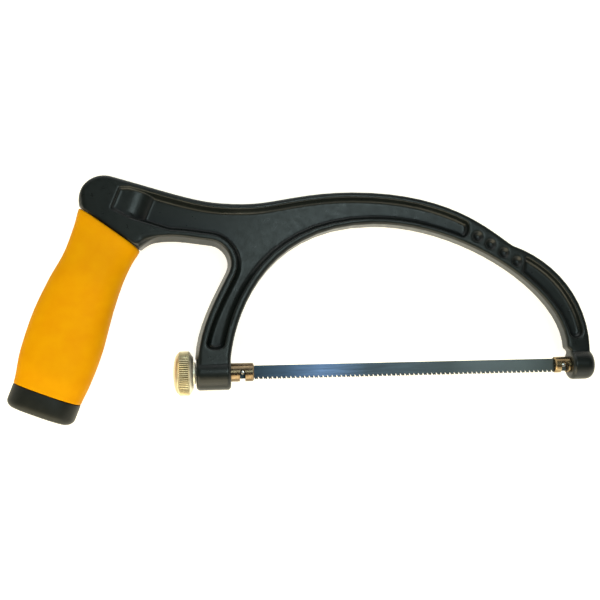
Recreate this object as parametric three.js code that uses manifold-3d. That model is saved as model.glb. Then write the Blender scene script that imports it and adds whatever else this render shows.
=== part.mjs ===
// Mini hacksaw: a die-cast frame with a pistol grip, a pinned 150 mm blade and a knurled tension knob.
// Millimetres. The saw lies on its side: X runs forward along the blade, Y up to the spine, Z out of the
// flat side. While it is built, the rear blade pin is at the origin and Z = 0 is the mid-plane.
import * as THREE from 'three';
import { mergeVertices } from 'three/addons/utils/BufferGeometryUtils.js';
import Module from 'manifold-3d';

const wasm = await Module();
wasm.setup();

// Blade: a strip with 24 teeth to the inch and a cross pin at each end
const PIN_SPAN = 150;
const BLADE_BACK = 2.9; // above the centres of the pins
const BLADE_EDGE = 3.4; // tips of the teeth below the centres of the pins
const BLADE_THICKNESS = 0.65;
const BLADE_TAIL = 1.8; // strip past the centre of each pin
const TEETH_PER_INCH = 24;
const TOOTH_DEPTH = 0.8;
const TOOTH_UNDERCUT = 0.1; // gullet behind the tip of the tooth before it
const TOOTH_MARGIN = 3; // plain edge past the centre of each pin
const PIN_DIAMETER = 2;
const PIN_LENGTH = 5.4;

// Tension screw: a knurled knob on a stud draws the rear holder back, one pitch for each turn
const THREAD_PITCH = 0.8;
const SLACKENING_TURNS = 1;
const STUD_DIAMETER = 5;
const STUD_IN_KNOB = 6.5;
const STUD_END_ROOM = 2.2; // tapped hole past the end of the stud
const KNOB_DIAMETER = 20;
const KNOB_WIDTH = 5.2;
const KNOB_DOME_HEIGHT = 2.4;
const KNOB_DOME_DIAMETER = 17.4;
const KNOB_CHAMFER = 0.9;
const KNURL_COUNT = 66;
const KNURL_DEPTH = 0.35;
const HUB_DIAMETER = 10;
const HUB_LENGTH = 2.5;
const HUB_ROUNDING = 0.5;
const KNOB_CONE_LENGTH = 1.4; // from the knurled band towards the boss
const KNOB_CONE_DIAMETER = 14.4;

// Rear holder, a round bar that slides in the rear boss
const BAR_DIAMETER = 8.5;
const BAR_NOSE = 5.1; // bar ahead of the rear pin
const BAR_ENGAGEMENT = 7.5; // bar inside the boss
const BAR_CHAMFER = 0.5;
const BAR_BORE_DEPTH = 11;

// Front holder, a slotted peg fixed in the front boss
const PEG_DIAMETER = 7.5;
const PEG_NOSE = 4.1; // peg behind the front pin
const PEG_CHAMFER = 0.5;
const PEG_SHANK_DIAMETER = 5.5;
const PEG_SHANK_LENGTH = 6.5;

// Bosses of the frame, both round the blade line
const REAR_BOSS_DIAMETER = 15.8;
const REAR_BOSS_LENGTH = 15.6;
const REAR_BOSS_SETBACK = 5.2; // front face behind the rear pin
const FRONT_BOSS_DIAMETER = 14;
const FRONT_BOSS_LENGTH = 10.9;
const FRONT_BOSS_SETBACK = 3.4; // rear face ahead of the front pin
const FRONT_BOSS_DOME = 3.2;
const BOSS_CHAMFER = 1;

// Frame casting, seen from its side
const THROAT_DEPTH = 66.8; // blade line to the underside of the bow
const BOW_WIDTH = 14.9;
const BRIDGE_DEPTH = 16.4; // spine to hand opening
const VALLEY_X = 2;
const VALLEY_DROP = 5.3; // valley of the spine below its crest
const FINGER_REST_SETBACK = 22.4; // dip of the spine behind the front pin
const FINGER_REST_DROP = 25.5; // dip below the crest of the spine
const ARM_WIDTH = 10.9;
const ARM_SETBACK = 1.9; // inner edge of the front arm ahead of the front pin
const LEG_WIDTH = 16.2;
const LEG_FOOT = 6; // foot of the leg above the blade line
const LEG_LEAN = 14.6; // top of the leg ahead of its foot
const LEG_HEIGHT = 40; // straight part of the rear edge of the leg
const FRAME_REAR_THICKNESS = 16; // at the head
const FRAME_FRONT_THICKNESS = 7.5; // at the front boss
const EDGE_ROUNDING = 1.4;
const THROAT_ROUNDING = 1.8;
const HAND_ROUNDING = 0.7; // round the hand opening
const HAND_DRAFT = 1.9; // lean of the sides of the hand opening, from the middle of the casting to each face
const SEAM_ROUNDING = 0.3; // along the upper seam
const SEAM_END_ROUNDING = 4; // at both ends of the seam, to meet the round sides of the grip
const SEAM_END_REACH = 10; // from the seam to where the plain rounding starts
const SEAM_CORNER = 3.5; // from each end of the seam to its plain edge

// Crests of the bow and the reach of the curves that leave them, as shares of the pin span
const THROAT_CREST_SHARE = 0.4133; // ahead of the rear pin
const SPINE_CREST_SHARE = 0.3467; // ahead of the rear pin
const SPINE_REAR_SHARE = 0.1567;
const SPINE_FRONT_SHARE = 0.32;
const THROAT_FRONT_SHARE = 0.2847;
const THROAT_REAR_SHARE = 0.4133;

// How far each other curve of the casting keeps the direction of its end before it bends
const HEAD_REACH = 36;
const VALLEY_REAR_REACH = 20;
const VALLEY_FRONT_REACH = 13.7;
const REST_REAR_REACH = 11.2;
const REST_FRONT_REACH = 21.9;
const REST_REAR_SLOPE = 33; // degrees down to the dip
const REST_FRONT_SLOPE = 19.5; // degrees down from the dip
const ARM_OUTER_REACH = 22.3;
const ARM_INNER_REACH = 26;
const LEG_FRONT_REACH = 1;
const LEG_FOOT_REACH = 15;
const LEG_TOP_REACH = 12;
const LEG_FOOT_SLOPE = 2; // degrees from upright
const LEG_TOP_SLOPE = 27; // degrees from upright
const HAND_CORNER = 7; // length and height of the corner of the hand opening
const HAND_CORNER_REACH = 5.5;
const HAND_ROOF_LENGTH = 18;
const HAND_ROOF_RISE = 2; // from the corner to the seam side
const HAND_ROOF_REACH = 6;
const HAND_SEAM_REACH = 4.4;
const HAND_SEAM_SLOPE = 41; // degrees down to the seam

// Web pockets on both sides of the casting
const WEB_THICKNESS = 5; // at the head
const SPINE_RIM = 2.6;
const BOW_RIM = 2.4;
const LEG_RIM = 3.5; // on the side of the throat
const HAND_RIM = 4.6;
const POCKET_FILLET = 1.6;
const POCKET_FOOT = 12.8; // foot of the pocket in the leg above the blade line, before its round end
const POCKET_END = 15.5; // foot of the pocket in the front arm above the blade line, likewise
const POCKET_SLANT = 0.75; // ends of the pockets at the pad, to each side of their middle
const POCKET_BULGE = 0.6; // round ends, as a share of a half circle
const FRONT_POCKET_SETBACK = 17.4; // start of the front pocket behind the front pin
const PAD_SETBACK = 42.4; // rear end of the dimpled pad behind the front pin
const PAD_MARGIN = 3.2; // from the round end of the pocket to the pad
const PAD_LENGTH = 24.6;
const DIMPLE_COUNT = 4;
const DIMPLE_SHARE = 0.54; // middle of the dimples, from the spine to the throat
const DIMPLE_DIAMETER = 5.2;
const DIMPLE_FLOOR = 2.4;
const DIMPLE_DEPTH = 2.8; // at the thickness of the head

// Shallow recess at the head; a broad shoulder curves down from it to the web
const RECESS_DEPTH = 1.6;
const RECESS_WALL = 1.5; // width of its sloping walls
const RECESS_TILT = 22; // degrees from upright
const RECESS_SETBACK = 55.8; // rear edge of the recess behind the rear pin
const RECESS_MIDDLE = 79.35; // middle of the rear edge above the blade line
const RECESS_HEIGHT = 10.4;
const RECESS_FOOT_SETBACK = 50.2; // lowest corner of the recess behind the rear pin
const RECESS_FOOT = 70.6; // lowest corner above the blade line
const SHOULDER_SETBACK = 48.7; // start of the shoulder behind the rear pin
const SHOULDER_RADIUS = 12.8;
const SHOULDER_SIDES = 96;

// Handle: head, tang, grip sleeve and butt cap
const HANDLE_TILT = 21; // degrees from upright
const SEAM_SETBACK = 58.1; // centre of the upper seam behind the rear pin
const SEAM_DROP = 1.45; // centre of the upper seam below the underside of the bow
const SEAM_SLOPE = 15; // degrees from square to the handle
const HEAD_RADIUS = 11.6;
const HEAD_RISE = 11; // centre of the head above the seam
const HEAD_OFFSET = -7; // centre of the head across the handle
const HEAD_START = 190; // degrees from +X, where the head leaves the seam
const HEAD_INSET = 0.4; // head inside the rear edge of the grip at the seam
const SPINE_SLOPE = 16.1; // degrees down from the head
const GRIP_LENGTH = 78.2;
const GRIP_THICKNESS = 24;
const GRIP_REAR_REACH = 19.2; // furthest rear of the handle line
const GRIP_FRONT_REACH = 15.6; // furthest ahead of the handle line
const GRIP_CORNER = 9.2;
const GRIP_TOP_THINNING = 2.4; // on each flank at the upper seam
const GRIP_FOOT_THINNING = 0.9; // on each flank at the butt
const GRIP_FLAT_START = 10; // flat flank, from the lower seam
const GRIP_FLAT_END = 50;
const TANG_WIDTH = 20;
const TANG_THICKNESS = 12.4;
const TANG_CORNER = 2;
const TANG_OFFSET = -2;
const TANG_END = 3; // tang above the lower seam
const CAP_LENGTH = 10;
const CAP_ROUNDING = 3.4;
const CAP_FLARE = 0.5; // draw-in of the cap where its rounding starts

// Butt screw
const SCREW_DIAMETER = 4;
const SCREW_LENGTH = 22;
const SCREW_HEAD_DIAMETER = 7.6;
const SCREW_HEAD_HEIGHT = 2.6;
const SCREW_HEAD_SINK = 4.2; // seat of the head above the butt
const SCREW_CROSS_WIDTH = 1.1;
const SCREW_CROSS_SPAN = 4.4;
const SCREW_CROSS_DEPTH = 1.5;
const SCREW_HOLE_END_ROOM = 2;

// Clearances, each on one side
const FIT_GAP = 0.3; // between fixed pieces
const RUNNING_GAP = 0.25; // between moving pieces
const SLOT_GAP = 0.25; // blade in its slots
const PIN_GAP = 0.15; // pin in the blade

const OVERSHOOT = 1; // how far a cut runs past the face it opens
const ROUND_SIDES = 32;
const SMALL_SIDES = 20;
const CURVE_STEPS = 8; // fewest chords along a curve
const CURVE_CHORD = 5.5;
const BEVEL_STEPS = 2;
const CORNER_STEPS = 6; // round each corner of the handle
const NOTCH_STEPS = 9; // odd, so that no point lies on top of the notch
const EDGE_SAMPLES = 60;
const QUARTER_ROUND = [0, 30, 60, 90]; // degrees
const DOME_ANGLES = [90, 65, 40, 15]; // degrees
const GRIP_STATIONS = [0, 0.05, 0.13, 0.25, 0.38, 0.5, 0.58, 0.65, 0.74, 0.82, 0.91, 1];
const MM_PER_INCH = 25.4;

// Directions in the plane of the saw, in degrees
const AHEAD = 0;
const UPWARD = 90;
const BACK = 180;
const DOWNWARD = -90;

const rad = THREE.MathUtils.degToRad;
const vec = (x, y) => new THREE.Vector2(x, y);

// Solids: a closed geometry becomes a body that can be joined and cut, and comes back as a geometry
function solid(geometry) {
  const bare = geometry.clone();
  bare.deleteAttribute('normal');
  bare.deleteAttribute('uv');
  const merged = mergeVertices(bare, 1e-5);
  return new wasm.Manifold(new wasm.Mesh({
    numProp: 3,
    vertProperties: new Float32Array(merged.attributes.position.array),
    triVerts: new Uint32Array(merged.index.array),
  }));
}

function geometryOf(body) {
  const mesh = body.getMesh();
  const geometry = new THREE.BufferGeometry();
  geometry.setAttribute('position', new THREE.BufferAttribute(new Float32Array(mesh.vertProperties), 3));
  geometry.setIndex(new THREE.BufferAttribute(new Uint32Array(mesh.triVerts), 1));
  geometry.computeVertexNormals();
  return geometry;
}

function joined(bodies) {
  return bodies.reduce((sum, body) => sum.add(body));
}

function cut(body, tools) {
  return tools.reduce((rest, tool) => rest.subtract(tool), body);
}

function block(x0, x1, y0, y1, z0, z1) {
  const box = new THREE.BoxGeometry(x1 - x0, y1 - y0, z1 - z0);
  return solid(box.translate((x0 + x1) / 2, (y0 + y1) / 2, (z0 + z1) / 2));
}

// Round body about the X axis from a profile of [x, radius] points that starts and ends on the axis
function turned(profile, sides = ROUND_SIDES) {
  const lathe = new THREE.LatheGeometry(profile.map(([x, radius]) => vec(radius, x)), sides);
  return solid(lathe.rotateZ(-Math.PI / 2));
}

function rodX(diameter, x0, x1, sides = ROUND_SIDES) {
  return turned([[x0, 0], [x0, diameter / 2], [x1, diameter / 2], [x1, 0]], sides);
}

function rodZ(diameter, x, y, length, sides = SMALL_SIDES) {
  const rod = new THREE.CylinderGeometry(diameter / 2, diameter / 2, length, sides);
  return solid(rod.rotateX(Math.PI / 2).translate(x, y, 0));
}

// Flat body of the outline between two heights
function plate(points, z0, z1) {
  const shape = new THREE.Shape(points);
  const sheet = new THREE.ExtrudeGeometry(shape, { depth: z1 - z0, bevelEnabled: false });
  return solid(sheet.translate(0, 0, z0));
}

// Points along a chain of Bezier curves; each link is [first handle, second handle, end]
function bezierChain(start, links) {
  const points = [start];
  for (const [a, b, end] of links) {
    const curve = new THREE.CubicBezierCurve(points[points.length - 1], a, b, end);
    const steps = Math.max(CURVE_STEPS, Math.round(curve.getLength() / CURVE_CHORD));
    points.push(...curve.getPoints(steps).slice(1));
  }
  return points;
}

// The line parallel to a row of points, on its right-hand side
function insetLine(points, distanceAt) {
  return points.map((point, i) => {
    const before = points[Math.max(i - 1, 0)];
    const after = points[Math.min(i + 1, points.length - 1)];
    const along = after.clone().sub(before).normalize();
    const distance = distanceAt(point);
    return vec(point.x + along.y * distance, point.y - along.x * distance);
  });
}

// Half round from one point to another, turning clockwise; a bulge under 1 makes it flatter than a circle
function halfRound(from, to, bulge = 1) {
  const centre = from.clone().add(to).multiplyScalar(0.5);
  const spoke = from.clone().sub(centre);
  const side = vec(spoke.y, -spoke.x).multiplyScalar(bulge);
  const turns = Array.from({ length: CURVE_STEPS - 1 }, (_, i) => Math.PI * (i + 1) / CURVE_STEPS);
  return turns.map((turn) => centre.clone()
    .addScaledVector(spoke, Math.cos(turn))
    .addScaledVector(side, Math.sin(turn)));
}

// The first point where a row of points crosses a place along X or Y
function crossing(points, axis, value) {
  const i = points.findIndex((p, k) => k > 0 && (p[axis] - value) * (points[k - 1][axis] - value) <= 0);
  const [a, b] = [points[i - 1], points[i]];
  return a.clone().lerp(b, (value - a[axis]) / (b[axis] - a[axis]));
}

// Handle frame: s runs up the handle from the lower seam, w across it towards the blade
const up = vec(Math.sin(rad(HANDLE_TILT)), Math.cos(rad(HANDLE_TILT)));
const across = vec(up.y, -up.x);
const seamCentre = vec(-SEAM_SETBACK, THROAT_DEPTH - SEAM_DROP);
const gripFoot = seamCentre.clone().addScaledVector(up, -GRIP_LENGTH);

function onHandle(s, w) {
  return gripFoot.clone().addScaledVector(up, s).addScaledVector(across, w);
}

// Moves a geometry from the handle frame (w, s, z) into the saw
function placeOnHandle(geometry) {
  return geometry.rotateZ(-rad(HANDLE_TILT)).translate(gripFoot.x, gripFoot.y, 0);
}

const seamLean = -Math.tan(rad(SEAM_SLOPE));
const seamAt = (w) => GRIP_LENGTH + seamLean * w;

// Rear and front edges of the handle, as [share of the grip's length, share of its reach to that side]
const gripRear = new THREE.SplineCurve([
  [0, 0.83], [0.17, 0.953], [0.38, 1], [0.58, 0.937], [0.74, 0.838], [0.9, 0.849], [1, 0.896],
].map(([share, reach]) => vec(share, -GRIP_REAR_REACH * reach)));
const gripFront = new THREE.SplineCurve([
  [0, 0.936], [0.11, 0.981], [0.24, 1], [0.36, 0.981], [0.47, 0.923],
  [0.6, 0.859], [0.77, 0.827], [0.9, 0.872], [1, 0.962],
].map(([share, reach]) => vec(share, GRIP_FRONT_REACH * reach)));

function edgeAt(edge, share) {
  const points = edge.getPoints(EDGE_SAMPLES);
  const i = Math.min(Math.max(points.findIndex((p) => p.x >= share), 1), points.length - 1);
  const [a, b] = [points[i - 1], points[i]];
  return THREE.MathUtils.lerp(a.y, b.y, (share - a.x) / (b.x - a.x));
}

// Outline of the casting, clockwise, so that its metal is always on the right
const crestY = THROAT_DEPTH + BOW_WIDTH;
const valleyY = crestY - VALLEY_DROP;
const undersideY = valleyY - BRIDGE_DEPTH;
const rearBossFront = -REAR_BOSS_SETBACK;
const rearBossRear = rearBossFront - REAR_BOSS_LENGTH;
const frontBossRear = PIN_SPAN + FRONT_BOSS_SETBACK;
const armInner = PIN_SPAN + ARM_SETBACK;
const armOuter = armInner + ARM_WIDTH;
const legFront = rearBossFront;
const legFoot = vec(legFront - LEG_WIDTH, LEG_FOOT);
const legTop = vec(legFoot.x + LEG_LEAN, LEG_FOOT + LEG_HEIGHT);
const bowFoot = FRONT_BOSS_DIAMETER / 2 + OVERSHOOT;
const fingerRest = vec(PIN_SPAN - FINGER_REST_SETBACK, crestY - FINGER_REST_DROP);
const headCentre = onHandle(GRIP_LENGTH + HEAD_RISE, HEAD_OFFSET);
const headRear = edgeAt(gripRear, 1) + HEAD_INSET;
const seamRear = onHandle(seamAt(headRear) + FIT_GAP, headRear);
const seamFront = onHandle(seamAt(edgeAt(gripFront, 1)) + FIT_GAP, edgeAt(gripFront, 1));

const headArc = new THREE.EllipseCurve(
  headCentre.x, headCentre.y, HEAD_RADIUS, HEAD_RADIUS, rad(HEAD_START), rad(UPWARD - SPINE_SLOPE), true,
).getPoints(2 * CURVE_STEPS);
const headEnd = headArc[headArc.length - 1];

// A point at a distance from another, in a direction given in degrees from AHEAD
function away(point, distance, direction) {
  return vec(point.x + distance * Math.cos(rad(direction)), point.y + distance * Math.sin(rad(direction)));
}

const valley = vec(VALLEY_X, valleyY);
const crest = vec(PIN_SPAN * SPINE_CREST_SHARE, crestY);
const armOuterFoot = vec(armOuter, bowFoot);
const spine = bezierChain(headEnd, [
  [away(headEnd, HEAD_REACH, -SPINE_SLOPE), away(valley, VALLEY_REAR_REACH, BACK), valley],
  [away(valley, VALLEY_FRONT_REACH, AHEAD), away(crest, PIN_SPAN * SPINE_REAR_SHARE, BACK), crest],
  [away(crest, PIN_SPAN * SPINE_FRONT_SHARE, AHEAD),
    away(fingerRest, REST_REAR_REACH, BACK - REST_REAR_SLOPE), fingerRest],
  [away(fingerRest, REST_FRONT_REACH, -REST_FRONT_SLOPE), away(armOuterFoot, ARM_OUTER_REACH, UPWARD),
    armOuterFoot],
]);
const armInnerFoot = vec(armInner, bowFoot);
const throatCrest = vec(PIN_SPAN * THROAT_CREST_SHARE, THROAT_DEPTH);
const legFrontFoot = vec(legFront, LEG_FOOT);
const throat = bezierChain(armInnerFoot, [
  [away(armInnerFoot, ARM_INNER_REACH, UPWARD),
    away(throatCrest, PIN_SPAN * THROAT_FRONT_SHARE, AHEAD), throatCrest],
  [away(throatCrest, PIN_SPAN * THROAT_REAR_SHARE, BACK),
    away(legFrontFoot, LEG_FRONT_REACH, UPWARD), legFrontFoot],
]);
const handCorner = vec(legTop.x - HAND_CORNER, undersideY - HAND_ROOF_RISE);
const handRoof = vec(handCorner.x - HAND_ROOF_LENGTH, undersideY);
const roofSlope = THREE.MathUtils.radToDeg(Math.atan2(HAND_ROOF_RISE, HAND_ROOF_LENGTH));
const hand = bezierChain(legFoot, [
  [away(legFoot, LEG_FOOT_REACH, UPWARD - LEG_FOOT_SLOPE),
    away(legTop, LEG_TOP_REACH, DOWNWARD - LEG_TOP_SLOPE), legTop],
  [away(legTop, HAND_CORNER_REACH, UPWARD - LEG_TOP_SLOPE),
    away(handCorner, HAND_CORNER_REACH, -roofSlope), handCorner],
  [away(handCorner, HAND_ROOF_REACH, BACK - roofSlope), away(handRoof, HAND_ROOF_REACH, AHEAD), handRoof],
  [away(handRoof, HAND_ROOF_REACH, BACK), away(seamFront, HAND_SEAM_REACH, HAND_SEAM_SLOPE), seamFront],
]);

// A point of the upper seam at a distance from its front end
const seamWidth = seamFront.distanceTo(seamRear);
const alongSeam = (distance) => seamFront.clone().lerp(seamRear, distance / seamWidth);

// A size that changes near the ends of the seam
const nearSeam = (there, elsewhere) => (point) => {
  const reach = Math.min(point.distanceTo(seamRear), point.distanceTo(seamFront));
  return THREE.MathUtils.lerp(there, elsewhere, THREE.MathUtils.smoothstep(reach, 0, SEAM_END_REACH));
};

// The feet of the casting end inside the bosses, and the front one stays clear of the peg
const rearFoot = rearBossRear + BOSS_CHAMFER;
const frontFoot = frontBossRear + BOSS_CHAMFER;
const pegTop = PEG_DIAMETER / 2 + OVERSHOOT;

// The edges of the casting in order, each with its rounding and the draft of its side
const edges = [
  {
    rounding: nearSeam(SEAM_END_ROUNDING, EDGE_ROUNDING),
    draft: () => 0,
    points: [seamRear, ...headArc, ...spine.slice(1), vec(armOuter, 0), vec(frontFoot, 0)],
  },
  {
    rounding: () => THROAT_ROUNDING,
    draft: () => 0,
    points: [vec(frontFoot, pegTop), ...throat, vec(legFront, 0)],
  },
  {
    rounding: () => EDGE_ROUNDING,
    draft: () => 0,
    points: [vec(rearFoot, 0), vec(rearFoot, LEG_FOOT)],
  },
  {
    rounding: nearSeam(SEAM_END_ROUNDING, HAND_ROUNDING),
    draft: nearSeam(0, HAND_DRAFT),
    points: hand,
  },
  {
    rounding: () => SEAM_ROUNDING,
    draft: () => 0,
    points: [alongSeam(SEAM_CORNER), alongSeam(seamWidth - SEAM_CORNER)],
  },
];
const outline = edges.flatMap(({ points }) => points);
const roundings = edges.flatMap(({ rounding, points }) => points.map(rounding));
const drafts = edges.flatMap(({ draft, points }) => points.map(draft));

// Web pockets, each drawn as the casting is, clockwise
const spineInset = insetLine(spine, () => SPINE_RIM);
const throatInset = insetLine(throat, (p) => THREE.MathUtils.lerp(LEG_RIM, BOW_RIM,
  THREE.MathUtils.smoothstep(p.x, legFront, throatCrest.x)));
const handInset = insetLine(hand, () => HAND_RIM);
const padStart = PIN_SPAN - PAD_SETBACK;
const recessLean = vec(Math.sin(rad(RECESS_TILT)), Math.cos(rad(RECESS_TILT)));
const recessEdge = (setback, rise) => vec(-setback, RECESS_MIDDLE).addScaledVector(recessLean, rise);

function rearPocket() {
  const corner = recessEdge(RECESS_SETBACK, RECESS_HEIGHT / 2);
  const front = padStart - PAD_MARGIN;
  const topEnd = crossing(spineInset, 'x', front + POCKET_SLANT);
  const undersideStart = crossing(throatInset, 'x', front - POCKET_SLANT);
  const undersideEnd = crossing(throatInset.toReversed(), 'y', POCKET_FOOT);
  const legStart = crossing(handInset, 'y', POCKET_FOOT);
  return [
    corner,
    ...spineInset.filter((p) => p.x > corner.x + RECESS_WALL && p.x < topEnd.x),
    topEnd,
    ...halfRound(topEnd, undersideStart, POCKET_BULGE),
    undersideStart,
    ...throatInset.filter((p) => p.x < undersideStart.x && p.y > POCKET_FOOT),
    undersideEnd,
    ...halfRound(undersideEnd, legStart, POCKET_BULGE),
    legStart,
    ...handInset.filter((p) => p.y > POCKET_FOOT && p.x > handRoof.x),
    vec(-RECESS_FOOT_SETBACK, RECESS_FOOT),
    recessEdge(RECESS_SETBACK, -RECESS_HEIGHT / 2),
  ];
}

function frontPocket() {
  const start = PIN_SPAN - FRONT_POCKET_SETBACK;
  const topStart = crossing(spineInset, 'x', start + POCKET_SLANT);
  const topEnd = crossing(spineInset.toReversed(), 'y', POCKET_END);
  const undersideStart = crossing(throatInset, 'y', POCKET_END);
  const undersideEnd = crossing(throatInset, 'x', start - POCKET_SLANT);
  return [
    topStart,
    ...spineInset.filter((p) => p.x > topStart.x && p.y > POCKET_END),
    topEnd,
    ...halfRound(topEnd, undersideStart),
    undersideStart,
    ...throatInset.filter((p) => p.x > undersideEnd.x && p.y > POCKET_END),
    undersideEnd,
  ];
}

// The parts of the tools ahead of a line across the casting, parallel to the rear edge of the recess
function aheadOf(setback, tools) {
  const reach = PIN_SPAN + RECESS_SETBACK;
  const [top, foot] = [recessEdge(setback, reach), recessEdge(setback, -reach)];
  const corners = [top, recessEdge(setback - reach, reach), recessEdge(setback - reach, -reach), foot];
  const area = plate(corners, -FRAME_REAR_THICKNESS, FRAME_REAR_THICKNESS);
  return tools.map((tool) => tool.intersect(area));
}

// A pocket cut into both sides to the given depth, with walls that lean in towards its floor
function pocketTools(points, depth, lean) {
  const floor = FRAME_REAR_THICKNESS / 2 - depth;
  const geometry = new THREE.ExtrudeGeometry(new THREE.Shape(points), {
    depth,
    bevelThickness: depth - OVERSHOOT / 2,
    bevelSize: lean,
    bevelOffset: -lean,
    bevelSegments: BEVEL_STEPS,
  });
  geometry.computeBoundingBox();
  const box = geometry.boundingBox;
  return [
    solid(geometry.clone().translate(0, 0, floor - box.min.z)),
    solid(geometry.clone().translate(0, 0, -floor - box.max.z)),
  ];
}

// Dimples with sloping sides and a flat floor, in both faces
function dimpleTools() {
  const flare = (DIMPLE_DIAMETER - DIMPLE_FLOOR) / 2 / DIMPLE_DEPTH;
  const mouth = DIMPLE_DIAMETER / 2 + flare * OVERSHOOT;
  const height = (FRAME_REAR_THICKNESS - DIMPLE_DEPTH + OVERSHOOT) / 2;
  const tools = [];
  for (let i = 0; i < DIMPLE_COUNT; i += 1) {
    const x = padStart + PAD_LENGTH * (i + 0.5) / DIMPLE_COUNT;
    const y = THREE.MathUtils.lerp(crossing(spine, 'x', x).y, crossing(throat, 'x', x).y, DIMPLE_SHARE);
    for (const side of [1, -1]) {
      const pit = new THREE.CylinderGeometry(mouth, DIMPLE_FLOOR / 2, DIMPLE_DEPTH + OVERSHOOT, SMALL_SIDES);
      tools.push(solid(pit.rotateX(side * Math.PI / 2).translate(x, y, side * height)));
    }
  }
  return tools;
}

// The shoulder keeps the web pocket off the recess: a long roller whose top meets the floor of the recess
function aheadOfShoulder(tools) {
  const middle = recessEdge(SHOULDER_SETBACK, 0);
  const height = FRAME_REAR_THICKNESS / 2 - RECESS_DEPTH - SHOULDER_RADIUS;
  return aheadOf(SHOULDER_SETBACK, tools).map((tool, i) => {
    const roller = new THREE.CylinderGeometry(SHOULDER_RADIUS, SHOULDER_RADIUS, PIN_SPAN, SHOULDER_SIDES);
    roller.rotateZ(-rad(RECESS_TILT)).translate(middle.x, middle.y, i ? -height : height);
    return tool.subtract(solid(roller));
  });
}

// The flat casting is made at the thickness of the head and then thinned evenly towards the front boss
function taperToFront(body) {
  const geometry = geometryOf(body);
  const place = geometry.attributes.position;
  const rear = headCentre.x - HEAD_RADIUS;
  const front = frontBossRear + FRONT_BOSS_LENGTH;
  for (let i = 0; i < place.count; i += 1) {
    const share = (place.getX(i) - rear) / (front - rear);
    const thickness = THREE.MathUtils.lerp(FRAME_REAR_THICKNESS, FRAME_FRONT_THICKNESS, share);
    place.setZ(i, place.getZ(i) * thickness / FRAME_REAR_THICKNESS);
  }
  return solid(geometry);
}

// Closed surface through a stack of rings; the caps are the triangles of the last ring
function skin(rings, caps) {
  const size = rings[0].length;
  const index = [];
  const last = caps.length ? rings.length - 1 : rings.length;
  for (let r = 0; r < last; r += 1) {
    const [low, high] = [r * size, ((r + 1) % rings.length) * size];
    for (let i = 0; i < size; i += 1) {
      const j = (i + 1) % size;
      index.push(low + i, high + i, low + j, low + j, high + i, high + j);
    }
  }
  for (const [a, b, c] of caps) {
    const top = last * size;
    index.push(c, b, a, top + a, top + b, top + c);
  }
  const geometry = new THREE.BufferGeometry();
  geometry.setAttribute('position', new THREE.Float32BufferAttribute(rings.flat(2), 3));
  return geometry.setIndex(index);
}

// Plate of the outline, drawn in towards both faces by the draft and the rounding of each point
function roundedPlate(points, roundings, drafts, half) {
  const inward = points.map((_, i) => {
    const before = points[(i + points.length - 1) % points.length];
    const along = points[(i + 1) % points.length].clone().sub(before).normalize();
    return vec(along.y, -along.x);
  });
  const ring = (side, angle) => points.map((point, i) => {
    const height = half - roundings[i] * (1 - Math.sin(rad(angle)));
    const inset = drafts[i] * height / half + roundings[i] * (1 - Math.cos(rad(angle)));
    return [point.x + inward[i].x * inset, point.y + inward[i].y * inset, side * height];
  });
  const rings = [
    ...QUARTER_ROUND.map((angle) => ring(-1, angle)).reverse(),
    points.map(({ x, y }) => [x, y, 0]),
    ...QUARTER_ROUND.map((angle) => ring(1, angle)),
  ];
  const face = rings[rings.length - 1].map(([x, y]) => vec(x, y));
  return solid(skin(rings, THREE.ShapeUtils.triangulateShape(face, [])));
}

function castingPlate() {
  const slab = roundedPlate(outline, roundings, drafts, FRAME_REAR_THICKNESS / 2);
  const webDepth = (FRAME_REAR_THICKNESS - WEB_THICKNESS) / 2;
  const pocket = rearPocket();
  return taperToFront(cut(slab, [
    ...pocketTools(pocket, RECESS_DEPTH, RECESS_WALL),
    ...aheadOfShoulder(pocketTools(pocket, webDepth, POCKET_FILLET)),
    ...pocketTools(frontPocket(), webDepth, POCKET_FILLET),
    ...dimpleTools(),
  ]));
}

// Body with a rounded oblong section that follows the handle; each station gives its half sizes and place
function oblongRing(halfWidth, halfThickness, corner, middle, heightAt) {
  const ring = [];
  for (const [turn, cx, cz] of [[0, 1, 1], [1, -1, 1], [2, -1, -1], [3, 1, -1]]) {
    for (let i = 0; i <= CORNER_STEPS; i += 1) {
      const angle = (turn + i / CORNER_STEPS) * Math.PI / 2;
      const w = middle + cx * (halfWidth - corner) + corner * Math.cos(angle);
      const z = cz * (halfThickness - corner) + corner * Math.sin(angle);
      ring.push([w, heightAt(w), z]);
    }
  }
  return ring;
}

// Body of the handle through a stack of rings; a sleeve joins its last ring to its first
function lofted(rings, sleeve) {
  const fan = Array.from({ length: rings[0].length - 2 }, (_, i) => [0, i + 2, i + 1]);
  return placeOnHandle(skin(rings, sleeve ? [] : fan));
}

function gripRing(share) {
  const [rear, front] = [edgeAt(gripRear, share), edgeAt(gripFront, share)];
  const s = share * GRIP_LENGTH;
  const thinning = GRIP_TOP_THINNING * THREE.MathUtils.smoothstep(s, GRIP_FLAT_END, GRIP_LENGTH)
    + GRIP_FOOT_THINNING * (1 - THREE.MathUtils.smoothstep(s, 0, GRIP_FLAT_START));
  return oblongRing((front - rear) / 2, GRIP_THICKNESS / 2 - thinning, GRIP_CORNER, (front + rear) / 2,
    (w) => s + share * seamLean * w);
}

function tangRing(gap, heightAt) {
  const [halfWidth, halfThickness] = [TANG_WIDTH / 2 + gap, TANG_THICKNESS / 2 + gap];
  return oblongRing(halfWidth, halfThickness, TANG_CORNER + gap, TANG_OFFSET, heightAt);
}

function gripSleeve() {
  const outside = GRIP_STATIONS.map(gripRing);
  return lofted([...outside, tangRing(FIT_GAP, seamAt), tangRing(FIT_GAP, () => 0)], true);
}

function tang() {
  return solid(lofted([tangRing(0, () => TANG_END), tangRing(0, (w) => seamAt(w) + HEAD_RISE)], false));
}

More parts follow.
